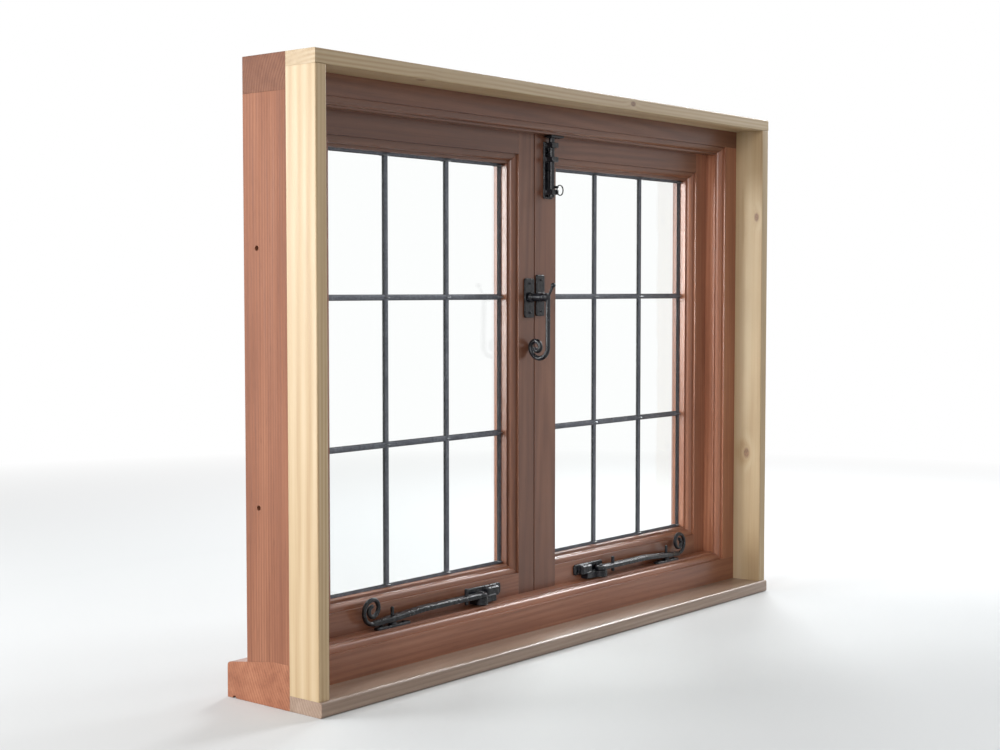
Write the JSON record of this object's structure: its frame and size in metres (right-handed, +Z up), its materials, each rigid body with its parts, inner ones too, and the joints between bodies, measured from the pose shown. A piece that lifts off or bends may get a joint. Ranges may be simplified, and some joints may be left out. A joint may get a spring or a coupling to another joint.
{
  "type": "two-light leaded casement window",
  "caption": "Side-hung pair of leaded casements in a moulded hardwood frame, with black iron fastener, bolt and stays, pine reveal lining and an inside board.",
  "frame": {"origin": "in the underside of the frame sill, midway along it, in the plane of the glass", "axes": "+X to the right seen from the room, +Y outdoors through the glass, +Z up"},
  "size_m": [0.988, 0.159, 0.7495],
  "materials": {
    "hardwood": "oiled, satin",
    "pine": "clear lacquer",
    "board_oak": "oiled, satin",
    "black_iron": "black, hammered, semi-gloss",
    "lead": "dull grey lead",
    "glass": "clear, polished"
  },
  "bodies": {
    "root": {"bolt_keep": "black_iron", "bolt_plate": "black_iron", "bolt_shoot": "black_iron", "fastener_handle": "black_iron", "fastener_keeper": "black_iron", "fastener_plate": "black_iron", "frame_head": "hardwood", "frame_jamb_left": "hardwood", "frame_jamb_right": "hardwood", "frame_sill": "hardwood", "hinge_left_bottom": "black_iron", "hinge_left_top": "black_iron", "hinge_right_bottom": "black_iron", "hinge_right_top": "black_iron", "left_beads": "hardwood", "left_bottom_rail": "hardwood", "left_glass": "glass", "left_hanging_stile": "hardwood", "left_leading": "lead", "left_meeting_stile": "hardwood", "left_stay_arm": "black_iron", "left_stay_bracket": "black_iron", "left_stay_pins": "black_iron", "left_top_rail": "hardwood", "lining_head": "pine", "lining_left": "pine", "lining_right": "pine", "right_beads": "hardwood", "right_bottom_rail": "hardwood", "right_glass": "glass", "right_hanging_stile": "hardwood", "right_leading": "lead", "right_meeting_stile": "hardwood", "right_stay_arm": "black_iron", "right_stay_bracket": "black_iron", "right_stay_pins": "black_iron", "right_top_rail": "hardwood", "window_board": "board_oak"}
  },
  "joints": []
}
